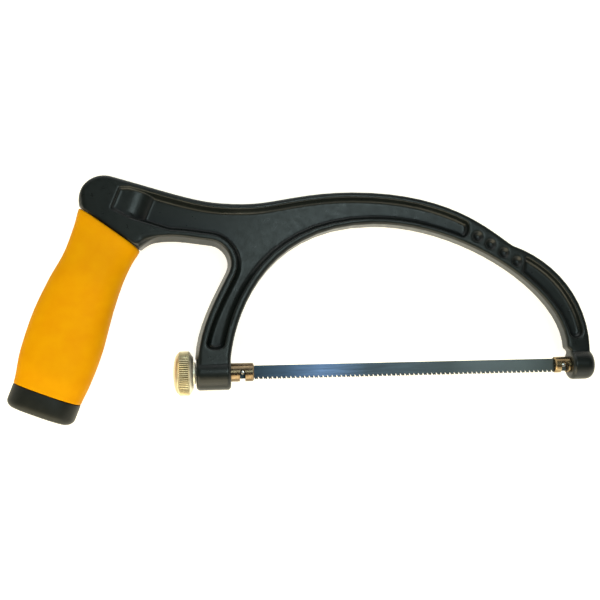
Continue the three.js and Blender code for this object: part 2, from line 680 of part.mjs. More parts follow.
// Screw bodies are turned about X and then set along the handle, x = 0 at the lower seam
function alongHandle(body) {
  const geometry = geometryOf(body).rotateZ(Math.PI / 2).translate(TANG_OFFSET, 0, 0);
  return solid(placeOnHandle(geometry));
}

const capFoot = -FIT_GAP - CAP_LENGTH;
const screwSeat = capFoot + SCREW_HEAD_SINK;
const screwTip = screwSeat - FIT_GAP + SCREW_LENGTH;

function buttCap() {
  const [rear, front] = [edgeAt(gripRear, 0), edgeAt(gripFront, 0)];
  const [halfWidth, middle] = [(front - rear) / 2, (front + rear) / 2];
  const halfThickness = GRIP_THICKNESS / 2 - GRIP_FOOT_THINNING;
  const ring = (s, drawIn) => oblongRing(halfWidth - drawIn, halfThickness - drawIn,
    GRIP_CORNER - drawIn, middle, () => s);
  const rounding = CAP_ROUNDING - CAP_FLARE;
  const rings = QUARTER_ROUND.map((angle) => ring(
    capFoot + rounding * (1 - Math.cos(rad(angle))),
    CAP_FLARE + rounding * (1 - Math.sin(rad(angle))),
  ));
  const body = solid(lofted([...rings, ring(-FIT_GAP, 0)], false));
  return cut(body, [
    alongHandle(rodX(SCREW_HEAD_DIAMETER + 2 * FIT_GAP, capFoot - OVERSHOOT, screwSeat)),
    alongHandle(rodX(SCREW_DIAMETER + 2 * FIT_GAP, capFoot, OVERSHOOT)),
  ]);
}

function buttScrew() {
  const seat = screwSeat - FIT_GAP;
  const bottom = seat - SCREW_HEAD_HEIGHT;
  const shank = turned([
    [bottom, 0], [bottom, SCREW_HEAD_DIAMETER / 2],
    [seat, SCREW_HEAD_DIAMETER / 2], [seat, SCREW_DIAMETER / 2],
    [screwTip - SCREW_DIAMETER / 4, SCREW_DIAMETER / 2], [screwTip, SCREW_DIAMETER / 4], [screwTip, 0],
  ]);
  const depth = bottom + SCREW_CROSS_DEPTH;
  const [wide, thin] = [SCREW_CROSS_SPAN / 2, SCREW_CROSS_WIDTH / 2];
  return alongHandle(cut(shank, [
    block(bottom - OVERSHOOT, depth, -wide, wide, -thin, thin),
    block(bottom - OVERSHOOT, depth, -thin, thin, -wide, wide),
  ]));
}

function frameCasting() {
  const rearBoss = turned([
    [rearBossRear, 0], [rearBossRear, REAR_BOSS_DIAMETER / 2 - BOSS_CHAMFER],
    [rearBossRear + BOSS_CHAMFER, REAR_BOSS_DIAMETER / 2],
    [rearBossFront - BOSS_CHAMFER, REAR_BOSS_DIAMETER / 2],
    [rearBossFront, REAR_BOSS_DIAMETER / 2 - BOSS_CHAMFER], [rearBossFront, 0],
  ]);
  const frontBossFront = frontBossRear + FRONT_BOSS_LENGTH;
  const seat = FRONT_BOSS_DIAMETER / 2; // the arm is cut flush with the boss round the peg
  const dome = QUARTER_ROUND.map((angle) => [
    frontBossFront - FRONT_BOSS_DOME * (1 - Math.sin(rad(angle))),
    FRONT_BOSS_DIAMETER / 2 - FRONT_BOSS_DOME * (1 - Math.cos(rad(angle))),
  ]);
  const frontBoss = turned([
    [frontBossRear, 0], [frontBossRear, FRONT_BOSS_DIAMETER / 2 - BOSS_CHAMFER],
    [frontBossRear + BOSS_CHAMFER, FRONT_BOSS_DIAMETER / 2],
    ...dome, [frontBossFront, 0],
  ]);
  return cut(joined([castingPlate(), rearBoss, frontBoss, tang()]), [
    rodX(BAR_DIAMETER + 2 * RUNNING_GAP, rearBossFront - BAR_BORE_DEPTH, rearBossFront + OVERSHOOT),
    rodX(STUD_DIAMETER + 2 * RUNNING_GAP, rearBossRear - LEG_WIDTH, rearBossFront),
    rodX(PEG_SHANK_DIAMETER + 2 * FIT_GAP, frontBossRear - OVERSHOOT,
      frontBossRear + PEG_SHANK_LENGTH + FIT_GAP),
    block(armInner - OVERSHOOT, frontBossRear, -seat, seat, -seat, seat),
    alongHandle(rodX(SCREW_DIAMETER + 2 * FIT_GAP, 0, screwTip + SCREW_HOLE_END_ROOM)),
  ]);
}

const slackTravel = THREAD_PITCH * SLACKENING_TURNS;
const knobFace = rearBossRear - FIT_GAP;
const barRear = rearBossFront - BAR_ENGAGEMENT;
const barSlotEnd = -BLADE_TAIL - SLOT_GAP;
const barHoleEnd = barSlotEnd - SLOT_GAP - BAR_CHAMFER;

// Notch for a pin, open towards the teeth, with room for the pin to move ahead
function pinNotch(pinX, room, reach) {
  const radius = PIN_DIAMETER / 2 + RUNNING_GAP;
  const angles = Array.from({ length: NOTCH_STEPS + 1 }, (_, i) => Math.PI * (1 - i / NOTCH_STEPS));
  const top = angles.map((angle) => {
    const centre = angle < Math.PI / 2 ? pinX + room : pinX;
    return vec(centre + radius * Math.cos(angle), radius * Math.sin(angle));
  });
  const outline = [vec(pinX - radius, -reach), ...top, vec(pinX + room + radius, -reach)];
  return plate(outline, -reach, reach);
}

// Slot for the blade and the notch for its pin
function holderTools(pinX, slotStart, slotEnd, diameter, room) {
  const slot = BLADE_THICKNESS / 2 + SLOT_GAP;
  const reach = diameter + OVERSHOOT;
  return [
    block(slotStart, slotEnd, -reach, reach, -slot, slot),
    pinNotch(pinX, room, reach),
  ];
}

function drawBar() {
  const radius = BAR_DIAMETER / 2;
  const bar = turned([
    [barRear, 0], [barRear, radius - BAR_CHAMFER], [barRear + BAR_CHAMFER, radius],
    [BAR_NOSE - BAR_CHAMFER, radius], [BAR_NOSE, radius - BAR_CHAMFER], [BAR_NOSE, 0],
  ]);
  return cut(bar, [
    rodX(STUD_DIAMETER + 2 * RUNNING_GAP, barRear - OVERSHOOT, barHoleEnd),
    ...holderTools(0, barSlotEnd, BAR_NOSE + OVERSHOOT, BAR_DIAMETER, 0),
  ]);
}

function frontPeg() {
  const radius = PEG_DIAMETER / 2;
  const nose = PIN_SPAN - PEG_NOSE;
  const seat = frontBossRear - FIT_GAP;
  const end = frontBossRear + PEG_SHANK_LENGTH;
  const peg = turned([
    [nose, 0], [nose, radius - PEG_CHAMFER], [nose + PEG_CHAMFER, radius], [seat, radius],
    [seat, PEG_SHANK_DIAMETER / 2], [end, PEG_SHANK_DIAMETER / 2], [end, 0],
  ]);
  const slotEnd = PIN_SPAN + BLADE_TAIL + slackTravel + SLOT_GAP;
  return cut(peg, holderTools(PIN_SPAN, nose - OVERSHOOT, slotEnd, PEG_DIAMETER, slackTravel));
}

function tensionKnob() {
  const front = knobFace - HUB_LENGTH;
  const rear = front - KNOB_WIDTH;
  const [crest, root] = [KNOB_DIAMETER / 2, KNOB_DIAMETER / 2 - KNURL_DEPTH];
  const ridges = Array.from({ length: 2 * KNURL_COUNT }, (_, i) => {
    const angle = Math.PI * i / KNURL_COUNT;
    const radius = i % 2 ? root : crest;
    return vec(radius * Math.cos(angle), radius * Math.sin(angle));
  });
  const wheel = solid(new THREE.ExtrudeGeometry(new THREE.Shape(ridges), {
    depth: KNOB_WIDTH - 2 * KNOB_CHAMFER,
    bevelThickness: KNOB_CHAMFER,
    bevelSize: KNOB_CHAMFER,
    bevelOffset: -KNOB_CHAMFER,
    bevelSegments: 1,
  }).rotateY(Math.PI / 2).translate(rear + KNOB_CHAMFER, 0, 0));
  const dome = turned([
    ...DOME_ANGLES.map((angle) => [
      rear - KNOB_DOME_HEIGHT * Math.sin(rad(angle)),
      (KNOB_DOME_DIAMETER / 2) * Math.cos(rad(angle)),
    ]),
    [rear, KNOB_DOME_DIAMETER / 2], [rear + KNOB_CHAMFER, KNOB_DOME_DIAMETER / 2], [rear + KNOB_CHAMFER, 0],
  ]);
  const coneEnd = front + KNOB_CONE_LENGTH;
  const hub = turned([
    [front - KNOB_CHAMFER, 0], [front - KNOB_CHAMFER, root - KNOB_CHAMFER], [front, root - KNOB_CHAMFER],
    [coneEnd, KNOB_CONE_DIAMETER / 2], [coneEnd, HUB_DIAMETER / 2],
    [knobFace - HUB_ROUNDING, HUB_DIAMETER / 2],
    [knobFace, HUB_DIAMETER / 2 - HUB_ROUNDING], [knobFace, 0],
  ]);
  const hole = rodX(STUD_DIAMETER + 2 * FIT_GAP, knobFace - STUD_IN_KNOB - FIT_GAP, knobFace + OVERSHOOT);
  return joined([wheel, dome, hub]).subtract(hole);
}

function tensionStud() {
  const [rear, front] = [knobFace - STUD_IN_KNOB, barHoleEnd - STUD_END_ROOM];
  const radius = STUD_DIAMETER / 2;
  return turned([
    [rear, 0], [rear, radius], [front - THREAD_PITCH, radius], [front, radius - THREAD_PITCH], [front, 0],
  ]);
}

function bladeStrip() {
  const [back, tips] = [BLADE_BACK, -BLADE_EDGE];
  const roots = tips + TOOTH_DEPTH;
  const pitch = MM_PER_INCH / TEETH_PER_INCH;
  const count = Math.floor((PIN_SPAN - 2 * TOOTH_MARGIN) / pitch);
  const start = (PIN_SPAN - count * pitch) / 2;
  const [rear, front] = [-BLADE_TAIL, PIN_SPAN + BLADE_TAIL];
  const points = [vec(front, roots), vec(front, back), vec(rear, back), vec(rear, roots)];
  for (let i = 0; i < count; i += 1) {
    points.push(vec(start + i * pitch, roots), vec(start + (i + 1) * pitch - TOOTH_UNDERCUT, tips));
  }
  const strip = plate(points, -BLADE_THICKNESS / 2, BLADE_THICKNESS / 2);
  return cut(strip, [0, PIN_SPAN].map((x) => rodZ(PIN_DIAMETER + 2 * PIN_GAP, x, 0, PIN_LENGTH)));
}

// The saw: one named mesh for each piece
const saw = new THREE.Group();

function addPiece(name, body, color, roughness, metalness) {
  const geometry = body.isBufferGeometry ? body : geometryOf(body);
  geometry.computeVertexNormals();
  const mesh = new THREE.Mesh(geometry, new THREE.MeshStandardMaterial({ color, roughness, metalness }));
  mesh.name = name;
  saw.add(mesh);
}

addPiece('frame_casting', frameCasting(), 0x202423, 0.45, 0.1);
addPiece('grip_sleeve', gripSleeve(), 0xf0a31a, 0.6, 0);
addPiece('butt_cap', buttCap(), 0x1d1f1e, 0.55, 0);
addPiece('butt_screw', buttScrew(), 0x8f9296, 0.35, 1);
addPiece('front_blade_peg', frontPeg(), 0xb7a98c, 0.25, 1);
addPiece('tension_knob', tensionKnob(), 0xc9bd9a, 0.3, 1);
addPiece('tension_stud', tensionStud(), 0xa9a294, 0.35, 1);
addPiece('draw_bar', drawBar(), 0xb7a98c, 0.25, 1);
addPiece('saw_blade', bladeStrip(), 0x4b6178, 0.35, 0.9);
addPiece('rear_blade_pin', rodZ(PIN_DIAMETER, 0, 0, PIN_LENGTH), 0x9a968e, 0.35, 1);
addPiece('front_blade_pin', rodZ(PIN_DIAMETER, PIN_SPAN, 0, PIN_LENGTH), 0x9a968e, 0.35, 1);

// The origin is below the middle of the saw, on the surface that it lies on
const reach = new THREE.Box3().setFromObject(saw);
const middle = reach.getCenter(new THREE.Vector3());
saw.position.set(-middle.x, -middle.y, -reach.min.z);

export default saw;
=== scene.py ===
"""Mini hacksaw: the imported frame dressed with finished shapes, materials, light and a camera.

Lengths are millimetres until a mesh is made. They are measured from the rear blade pin: X forward along the
blade, Y up to the spine of the bow, Z out of the side that faces the camera. Angles in lists are degrees.
"""
import math
from collections import namedtuple

import bmesh
import bpy
from mathutils import Matrix, Vector


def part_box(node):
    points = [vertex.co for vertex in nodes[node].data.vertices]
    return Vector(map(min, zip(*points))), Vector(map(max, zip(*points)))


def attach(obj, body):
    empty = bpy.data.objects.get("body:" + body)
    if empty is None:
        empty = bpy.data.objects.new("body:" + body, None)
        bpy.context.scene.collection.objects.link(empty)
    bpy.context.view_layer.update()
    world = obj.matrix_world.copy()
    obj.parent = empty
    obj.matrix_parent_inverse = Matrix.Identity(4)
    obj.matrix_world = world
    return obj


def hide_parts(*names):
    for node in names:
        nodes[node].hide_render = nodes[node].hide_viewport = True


MM = 0.001
INCH = 25.4

# Camera, above the saw and a little towards its handle and its teeth
CAMERA_PLACE = (-9.096, 1.119, 397.126)
CAMERA_RIGHT = (0.995773, -0.023637, 0.088755)
CAMERA_UP = (0.016503, 0.996637, 0.080263)
CAMERA_BACK = (-0.090354, -0.078459, 0.992814)
CAMERA_LENS = 52.09
CAMERA_SENSOR = 36
CAMERA_NEAREST = 10

# Edges of the meshes, and the gap below which two points become one
SHARP_ANGLE = math.radians(35)
MERGE_DISTANCE = 0.0001
SMALL_EDGE_SHARE = 0.3

# Casting
CASTING_VOXEL = 0.4
SMOOTHING_FACTOR = 0.5
SMOOTHING_ROUNDS = 6

# Handle: its line rises from the middle of the lower seam
HANDLE_FOOT = (-86.14, -7.66)
HANDLE_TILT = math.radians(21)
GRIP_LENGTH = 78.2
GRIP_HALF_THICKNESS = 12
GRIP_REAR_REACH = 19.2
GRIP_FRONT_REACH = 15.6
GRIP_TOP_THINNING = 2.4
GRIP_FOOT_THINNING = 0.9
GRIP_FLAT_START = 10
GRIP_FLAT_END = 50
GRIP_SQUARENESS = 2.7
SEAM_LEAN = -math.tan(math.radians(15))
SEAM_ROUNDING = 0.25
SEAM_TOP_ROUNDING = 0.9
SEAM_ANGLES = (30, 60, 90)
GRIP_REAR = [(0, 0.83), (0.17, 0.953), (0.38, 1), (0.58, 0.937), (0.74, 0.838), (0.9, 0.849), (1, 0.896)]
GRIP_FRONT = [
    (0, 0.936), (0.11, 0.981), (0.24, 1), (0.36, 0.981), (0.47, 0.923),
    (0.6, 0.859), (0.77, 0.827), (0.9, 0.872), (1, 0.962),
]
GRIP_STATIONS = 48
RING_POINTS = 72
TANG_HALF_WIDTH = 10.3
TANG_HALF_THICKNESS = 6.5
TANG_OFFSET = -2

# Butt cap
FIT_GAP = 0.3
CAP_LENGTH = 10
CAP_ROUNDING = 3.4
CAP_ANGLES = (0, 15, 30, 45, 60, 75, 90)
SCREW_HOLE_RADIUS = 4.1
SCREW_HOLE_DEPTH = 4.2
SCREW_HOLE_EDGE = 0.4

# Tension knob, along the blade line
KNOB_FACE = -21.1
HUB_LENGTH = 2.5
HUB_RADIUS = 5
HUB_ROUNDING = 0.5
HUB_ANGLES = (0, 45, 90)
KNOB_WIDTH = 5.2
KNOB_FRONT = KNOB_FACE - HUB_LENGTH
KNOB_REAR = KNOB_FRONT - KNOB_WIDTH
KNOB_RADIUS = 10
KNOB_CHAMFER = 0.6
KNOB_DOME_HEIGHT = 2.4
KNOB_DOME_RADIUS = 9.2
DOME_ANGLES = (88, 70, 52, 34, 16)
KNOB_CONE_LENGTH = 1.4
KNOB_CONE_RADIUS = 7.2
KNURL_COUNT = 66
KNURL_DEPTH = 0.45
KNURL_POINTS = 8
STUD_RADIUS = 2.5

# Places of the knob's metals in its list of materials: its nickel, a darker copy painted as shade in the
# grooves of the knurl, and a paler copy painted as light on the cone and the hub
KNOB_METAL, GROOVE_SHADE_METAL, HUB_LIGHT_METAL = range(3)

# Blade
PIN_SPAN = 150
BLADE_BACK = 2.9
BLADE_EDGE = 3.4
BLADE_THICKNESS = 0.65
BLADE_TAIL = 1.8
TEETH_PER_INCH = 24
DEEP_GULLET = 1.05
SHALLOW_GULLET = 0.45
GULLET_FLAT = 0.3
TOOTH_TIP = 0.3
TOOTH_HOOK = 0.05
TOOTH_SET = 0.17
TOOTH_MARGIN = 3
PIN_RADIUS = 1
PIN_LENGTH = 5.4
PIN_ROUNDING = 0.35
PIN_POINTS = 32

# Machined pieces that keep their solid's shape
NODE_MERGE_DISTANCE = 0.001
NODE_FLAT_ANGLE = math.radians(1)
HOLDER_BEVEL = 0.15
SCREW_BEVEL = 0.12
BEVEL_SEGMENTS = 2

# Metals are rougher and smoother in patches, by these shares of their roughness
SMOOTH_PATCH = 0.75
ROUGH_PATCH = 1.3

# Stage, in metres
FLOOR_RADIUS = 1.6
FLOOR_POINTS = 64
FLOOR_GAP = 0.0003
FLOOR_ROUGHNESS = 0.9
FLOOR_COLOR = (0.85, 0.78, 0.54, 1)
WALL_HEIGHT = 1.3
WALL_ANGLES = (10, 20, 30, 40, 50, 60, 70, 80, 90)
GLOW_START = 0.25
GLOW_END = 0.8
GLOW_NEAR = 0.8
CEILING_COLOR = (0.93, 0.98, 1, 1)
CEILING_LIGHT = 0.1


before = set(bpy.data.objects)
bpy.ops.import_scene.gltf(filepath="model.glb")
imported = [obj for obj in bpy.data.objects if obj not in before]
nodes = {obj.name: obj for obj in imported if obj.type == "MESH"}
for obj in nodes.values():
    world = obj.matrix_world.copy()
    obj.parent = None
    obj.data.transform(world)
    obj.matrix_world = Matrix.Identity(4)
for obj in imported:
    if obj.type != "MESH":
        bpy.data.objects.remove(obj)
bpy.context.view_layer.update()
low, high = (Vector(corner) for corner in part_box("rear_blade_pin"))
REAR_PIN = (low + high) / 2


# Places and curves


def at(x, y, z=0.0):
    """A place in metres from millimetres measured at the rear pin."""
    return REAR_PIN + Vector((x, y, z)) * MM


def on_handle(across, along, z):
    """A place on the handle: across it towards the blade, along it from the lower seam."""
    sine, cosine = math.sin(HANDLE_TILT), math.cos(HANDLE_TILT)
    x = HANDLE_FOOT[0] + along * sine + across * cosine
    y = HANDLE_FOOT[1] + along * cosine - across * sine
    return at(x, y, z)


def smoothstep(value, start, end):
    share = min(max((value - start) / (end - start), 0), 1)
    return share * share * (3 - 2 * share)


def spline(points, place):
    """Height of the Catmull-Rom curve through the points at a place along it."""
    count = len(points)
    i = max(k for k in range(count - 1) if points[k][0] <= place or k == 0)
    share = (place - points[i][0]) / (points[i + 1][0] - points[i][0])
    before = points[max(i - 1, 0)][1]
    start = points[i][1]
    end = points[i + 1][1]
    after = points[min(i + 2, count - 1)][1]
    bend = 2 * before - 5 * start + 4 * end - after
    twist = 3 * start - before - 3 * end + after
    return start + 0.5 * share * (end - before + share * (bend + share * twist))


def turns(count):
    """Angles spaced evenly round a circle."""
    return [2 * math.pi * i / count for i in range(count)]


def rounding(radius, angles):
    """Steps over a rounded edge: how far in from the side, and how far short of the end."""
    steps = []
    for degrees in angles:
        angle = math.radians(degrees)
        steps.append((radius * (1 - math.cos(angle)), radius * (1 - math.sin(angle))))
    return steps


def small_rounding(radius):
    """The same in three steps, for an edge too small to show more."""
    middle = radius * SMALL_EDGE_SHARE
    return [(0, radius), (middle, middle), (radius, 0)]


# Meshes


def add_object(name, data):
    piece = bpy.data.objects.new(name, data)
    bpy.context.scene.collection.objects.link(piece)
    return piece


def smooth_by_angle(mesh):
    mesh.shade_smooth()
    mesh.set_sharp_from_angle(angle=SHARP_ANGLE)


def mesh_from(name, points, faces):
    mesh = bpy.data.meshes.new(name)
    mesh.from_pydata([tuple(point) for point in points], [], faces)
    build = bmesh.new()
    build.from_mesh(mesh)
    bmesh.ops.remove_doubles(build, verts=build.verts, dist=MERGE_DISTANCE * MM)
    bmesh.ops.recalc_face_normals(build, faces=build.faces)
    build.to_mesh(mesh)
    build.free()
    smooth_by_angle(mesh)
    return mesh


def bands(size, count, closed=False):
    """Faces between neighbouring rings. Closed, the last ring is joined to the first."""
    faces = []
    for r in range(count if closed else count - 1):
        here = r * size
        there = (r + 1) % count * size
        for i in range(size):
            j = (i + 1) % size
            faces.append((here + i, here + j, there + j, there + i))
    return faces


def lofted(name, rings, sleeve=False):
    """A closed mesh through rings of equal count. A sleeve joins its last ring to its first."""
    size = len(rings[0])
    faces = bands(size, len(rings), sleeve)
    if not sleeve:
        top = (len(rings) - 1) * size
        faces.append(tuple(reversed(range(size))))
        faces.append(tuple(range(top, top + size)))
    points = [point for ring in rings for point in ring]
    return mesh_from(name, points, faces)


def cover(piece, material):
    """Gives a piece one material in place of those it has."""
    piece.data.materials.clear()
    piece.data.materials.append(material)


def dress(piece, body, material, replaced):
    cover(piece, material)
    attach(piece, body)
    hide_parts(replaced)


# Materials


class Finish:
    """A node material with a principled shader, built up by the calls below."""

    def __init__(self, name, specular=0.5, metallic=0.0):
        self.material = bpy.data.materials.new(name)
        self.material.use_nodes = True
        self.tree = self.material.node_tree
        self.shader = self.tree.nodes["Principled BSDF"]
        self.shader.inputs["Specular IOR Level"].default_value = specular
        self.shader.inputs["Metallic"].default_value = metallic
        self.place = self.node("ShaderNodeTexCoord").outputs["Object"]

    def node(self, kind):
        return self.tree.nodes.new(kind)

    def link(self, source, target):
        self.tree.links.new(source, target)

    def noise(self, size_mm, detail, stretch=(1, 1, 1)):
        """Noise from 0 to 1 with features of about the given size."""
        spread = self.node("ShaderNodeMapping")
        spread.inputs["Scale"].default_value = stretch
        self.link(self.place, spread.inputs["Vector"])
        made = self.node("ShaderNodeTexNoise")
        made.inputs["Scale"].default_value = 1 / (size_mm * MM)
        made.inputs["Detail"].default_value = detail
        self.link(spread.outputs["Vector"], made.inputs["Vector"])
        return made.outputs["Fac"]

    def along_blade(self):
        """0 at the rear pin and 1 at the front pin."""
        parts = self.node("ShaderNodeSeparateXYZ")
        self.link(self.place, parts.inputs["Vector"])
        made = self.node("ShaderNodeMapRange")
        made.inputs["From Min"].default_value = at(0, 0).x
        made.inputs["From Max"].default_value = at(PIN_SPAN, 0).x
        self.link(parts.outputs["X"], made.inputs["Value"])
        return made.outputs["Result"]

    def ramp(self, value, stops):
        """A colour or grey between stops of (place, colour)."""
        made = self.node("ShaderNodeValToRGB")
        band = made.color_ramp
        while len(band.elements) < len(stops):
            band.elements.new(1.0)
        for element, (place, color) in zip(band.elements, stops):
            element.position = place
            element.color = (*color, 1) if isinstance(color, tuple) else (color, color, color, 1)
        self.link(value, made.inputs["Fac"])
        return made.outputs["Color"]

    def drift(self, noise, first, second, spread=0.2):
        """A colour or grey that drifts from the first to the second over the middle of the noise."""
        return self.ramp(noise, [(0.5 - spread, first), (0.5 + spread, second)])

    def color(self, source):
        self.link(source, self.shader.inputs["Base Color"])

    def roughness(self, source):
        self.link(source, self.shader.inputs["Roughness"])

    def bump(self, height, depth_mm):
        made = self.node("ShaderNodeBump")
        made.inputs["Distance"].default_value = depth_mm * MM
        self.link(height, made.inputs["Height"])
        before = self.shader.inputs["Normal"].links
        if before:
            self.link(before[0].from_socket, made.inputs["Normal"])
        self.link(made.outputs["Normal"], self.shader.inputs["Normal"])


def casting_finish():
    finish = Finish("satin_black_coating", specular=0.3)
    dark = (0.0055, 0.008, 0.0075)
    pale = (0.0075, 0.0105, 0.0098)
    finish.color(finish.drift(finish.noise(size_mm=9, detail=3), dark, pale))
    finish.roughness(finish.drift(finish.noise(size_mm=2.5, detail=3), 0.27, 0.36))
    finish.bump(finish.noise(size_mm=1.1, detail=1), depth_mm=0.02)
    finish.bump(finish.noise(size_mm=0.35, detail=2), depth_mm=0.008)
    return finish.material


def grip_finish():
    finish = Finish("amber_elastomer", specular=0.05)
    dark = (0.92, 0.37, 0.0003)
    pale = (0.96, 0.42, 0.0006)
    finish.color(finish.drift(finish.noise(size_mm=7, detail=4), dark, pale))
    finish.roughness(finish.drift(finish.noise(size_mm=1.6, detail=3), 0.46, 0.6))
    finish.bump(finish.noise(size_mm=0.5, detail=2), depth_mm=0.02)
    return finish.material


def cap_finish():
    finish = Finish("moulded_black", specular=0.25)
    dark = (0.009, 0.0105, 0.008)
    pale = (0.014, 0.0155, 0.012)
    finish.color(finish.drift(finish.noise(size_mm=4, detail=3), dark, pale))
    finish.shader.inputs["Roughness"].default_value = 0.5
    finish.bump(finish.noise(size_mm=0.4, detail=2), depth_mm=0.015)
    return finish.material


def metal_finish(name, dark, pale, roughness):
    finish = Finish(name, metallic=1.0)
    finish.color(finish.drift(finish.noise(size_mm=1.5, detail=3), dark, pale, spread=0.25))
    patches = finish.noise(size_mm=0.6, detail=2)
    finish.roughness(finish.drift(patches, roughness * SMOOTH_PATCH, roughness * ROUGH_PATCH))
    finish.bump(finish.noise(size_mm=0.25, detail=2), depth_mm=0.004)
    return finish.material


def blade_finish():
    finish = Finish("blued_steel_painted_sheen", metallic=1.0)
    # The blued tone of the steel with painted sheen: brighter and darker stops along the blade stand in for
    # reflections of the lamps
    blued_tone_and_sheen = [
        (0.0, (0.025, 0.036, 0.042)), (0.13, (0.046, 0.067, 0.1)), (0.24, (0.1, 0.144, 0.24)),
        (0.38, (0.048, 0.061, 0.075)), (0.64, (0.066, 0.075, 0.078)), (0.73, (0.115, 0.128, 0.133)),
        (0.88, (0.155, 0.174, 0.172)), (1.0, (0.095, 0.11, 0.104)),
    ]
    finish.color(finish.ramp(finish.along_blade(), blued_tone_and_sheen))
    grain = finish.noise(size_mm=0.5, detail=3, stretch=(0.05, 1, 1))
    finish.roughness(finish.drift(grain, 0.28, 0.42))
    finish.bump(grain, depth_mm=0.004)
    return finish.material


# Casting and handle


def soften(node):
    """Rounds the edges of a casting as its mould and its coating do."""
    remesh = node.modifiers.new("skin", "REMESH")
    remesh.mode = "VOXEL"
    remesh.voxel_size = CASTING_VOXEL * MM
    remesh.use_smooth_shade = True
    smooth = node.modifiers.new("rounding", "SMOOTH")
    smooth.factor = SMOOTHING_FACTOR
    smooth.iterations = SMOOTHING_ROUNDS


def add_casting():
    node = nodes["frame_casting"]
    soften(node)
    cover(node, casting_finish())


def squared(value):
    """A sine or cosine bent so that a circle becomes a rounded box."""
    return math.copysign(abs(value) ** (2 / GRIP_SQUARENESS), value)


def handle_ring(half_width, half_thickness, middle, height, lean=0.0):
    """A crowned ring round the handle. It leans with the place across the handle."""
    ring = []
    for angle in turns(RING_POINTS):
        across = squared(math.cos(angle)) * half_width + middle
        z = squared(math.sin(angle)) * half_thickness
        ring.append(on_handle(across, height + lean * across, z))
    return ring


def grip_width(share):
    """Half the width of the grip and its middle across the handle, at a share of its length."""
    rear = -GRIP_REAR_REACH * spline(GRIP_REAR, share)
    front = GRIP_FRONT_REACH * spline(GRIP_FRONT, share)
    return (front - rear) / 2, (front + rear) / 2


def grip_ring(share, inset=0.0):
    half_width, middle = grip_width(share)
    height = share * GRIP_LENGTH
    thinning = GRIP_TOP_THINNING * smoothstep(height, GRIP_FLAT_END, GRIP_LENGTH)
    thinning += GRIP_FOOT_THINNING * (1 - smoothstep(height, 0, GRIP_FLAT_START))
    half_thickness = GRIP_HALF_THICKNESS - thinning
    return handle_ring(half_width - inset, half_thickness - inset, middle, height, share * SEAM_LEAN)


def add_grip():
    """A sleeve: up its outside from the lower seam, and back down along the tang."""
    foot = SEAM_ROUNDING / GRIP_LENGTH
    top = 1 - SEAM_TOP_ROUNDING / GRIP_LENGTH
    rings = []
    for inset, drop in reversed(rounding(SEAM_ROUNDING, SEAM_ANGLES)):
        rings.append(grip_ring(drop / GRIP_LENGTH, inset))
    for i in range(GRIP_STATIONS + 1):
        rings.append(grip_ring(foot + (top - foot) * i / GRIP_STATIONS))
    for inset, drop in rounding(SEAM_TOP_ROUNDING, SEAM_ANGLES):
        rings.append(grip_ring(1 - drop / GRIP_LENGTH, inset))
    rings.append(handle_ring(TANG_HALF_WIDTH, TANG_HALF_THICKNESS, TANG_OFFSET, GRIP_LENGTH, SEAM_LEAN))
    rings.append(handle_ring(TANG_HALF_WIDTH, TANG_HALF_THICKNESS, TANG_OFFSET, 0))
    piece = add_object("amber_grip", lofted("amber_grip", rings, sleeve=True))
    dress(piece, "frame", grip_finish(), "grip_sleeve")


def screw_ring(radius, along):
    """A circle round the screw that holds the cap."""
    ring = []
    for angle in turns(RING_POINTS):
        ring.append(on_handle(TANG_OFFSET + radius * math.cos(angle), along, radius * math.sin(angle)))
    return ring


def cap_ring(height, inset):
    half_width, middle = grip_width(0)
    half_thickness = GRIP_HALF_THICKNESS - GRIP_FOOT_THINNING
    return handle_ring(half_width - inset, half_thickness - inset, middle, height)


def add_cap():
    """From the seam under the grip, round the butt and into the hole for the screw."""
    foot = -FIT_GAP - CAP_LENGTH
    rings = []
    for inset, drop in reversed(small_rounding(SEAM_ROUNDING)):
        rings.append(cap_ring(-FIT_GAP - drop, inset))
    for inset, drop in rounding(CAP_ROUNDING, CAP_ANGLES):
        rings.append(cap_ring(foot + drop, inset))
    rings.append(screw_ring(SCREW_HOLE_RADIUS + SCREW_HOLE_EDGE, foot))
    rings.append(screw_ring(SCREW_HOLE_RADIUS, foot + SCREW_HOLE_EDGE))
    rings.append(screw_ring(SCREW_HOLE_RADIUS, foot + SCREW_HOLE_DEPTH))
    piece = add_object("butt_end", lofted("butt_end", rings))
    dress(piece, "frame", cap_finish(), "butt_cap")


# Tension knob


def knob_ring(x, radius, knurl=0.0):
    """A ring round the knob, cut by narrow grooves of the given depth."""
    ring = []
    for angle in turns(KNURL_COUNT * KNURL_POINTS):
        groove = (0.5 - 0.5 * math.cos(KNURL_COUNT * angle)) ** 2
        r = radius - knurl * groove
        ring.append(at(x, r * math.cos(angle), r * math.sin(angle)))
    return ring


def knob_rings():
    """From the middle of the dome forward to the face against the boss."""
    rings = []
    for degrees in DOME_ANGLES:
        angle = math.radians(degrees)
        x = KNOB_REAR - KNOB_DOME_HEIGHT * math.sin(angle)
        rings.append(knob_ring(x, KNOB_DOME_RADIUS * math.cos(angle)))
    cone_end = KNOB_FRONT + KNOB_CONE_LENGTH
    rings += [
        knob_ring(KNOB_REAR, KNOB_DOME_RADIUS),
        knob_ring(KNOB_REAR, KNOB_RADIUS - KNOB_CHAMFER),
        knob_ring(KNOB_REAR + KNOB_CHAMFER, KNOB_RADIUS, KNURL_DEPTH),
        knob_ring(KNOB_FRONT - KNOB_CHAMFER, KNOB_RADIUS, KNURL_DEPTH),
        knob_ring(KNOB_FRONT, KNOB_RADIUS - KNOB_CHAMFER),
        knob_ring(cone_end, KNOB_CONE_RADIUS),
        knob_ring(cone_end, HUB_RADIUS),
    ]
    for inset, drop in rounding(HUB_ROUNDING, HUB_ANGLES):
        rings.append(knob_ring(KNOB_FACE - drop, HUB_RADIUS - inset))
    rings.append(knob_ring(KNOB_FACE, STUD_RADIUS))
    return rings


